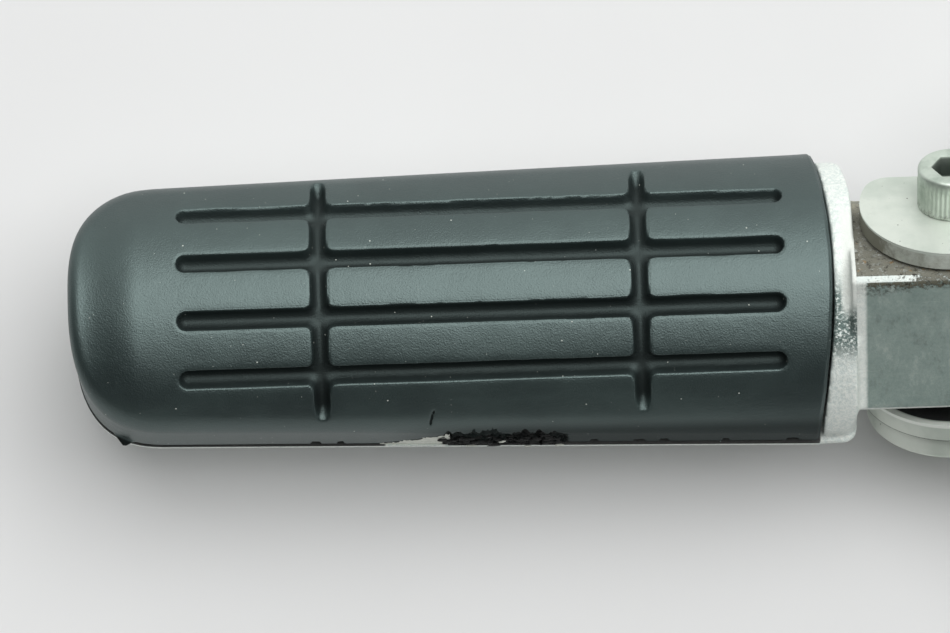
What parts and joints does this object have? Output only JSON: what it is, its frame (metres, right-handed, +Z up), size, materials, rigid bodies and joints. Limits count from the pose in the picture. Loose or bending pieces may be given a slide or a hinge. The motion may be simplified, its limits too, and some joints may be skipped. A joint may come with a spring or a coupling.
{
  "type": "folding passenger peg with fork bracket",
  "caption": "Folding passenger foot peg with a grooved rubber tread on a cast core, pivoting on a cap screw in a forked mounting bracket.",
  "frame": {"origin": "centre of the bracket's mounting face, midway between its two bolt holes", "axes": "+X into the mounting face, away from the peg; +Z up, square to the middle of the tread; the peg lies along -X"},
  "size_m": [0.1515, 0.069, 0.045],
  "materials": {
    "cast_alloy": "cast, scuffed",
    "bracket_alloy": "satin, stained",
    "plated_steel": "zinc plated, dulled",
    "pad_rubber": "matt, dusty",
    "washer_plastic": "matt black"
  },
  "bodies": {
    "fork": {"bracket": "bracket_alloy", "nut_plate": "bracket_alloy", "pivot_screw": "plated_steel", "pivot_bush": "plated_steel", "upper_washer": "washer_plastic", "lower_washer": "washer_plastic", "wave_washer": "plated_steel"},
    "peg": {"peg_core": "cast_alloy", "peg_rubber": "pad_rubber", "pad_plate": "plated_steel", "pad_screws": "plated_steel", "pad_washers": "plated_steel"}
  },
  "joints": [
    {"name": "peg_fold", "type": "hinge", "parent": "fork", "child": "peg", "pos_m": [-0.023, 0, 0], "axis": [0, 0.6794, 0.7337], "range_deg": [0, 90]}
  ]
}
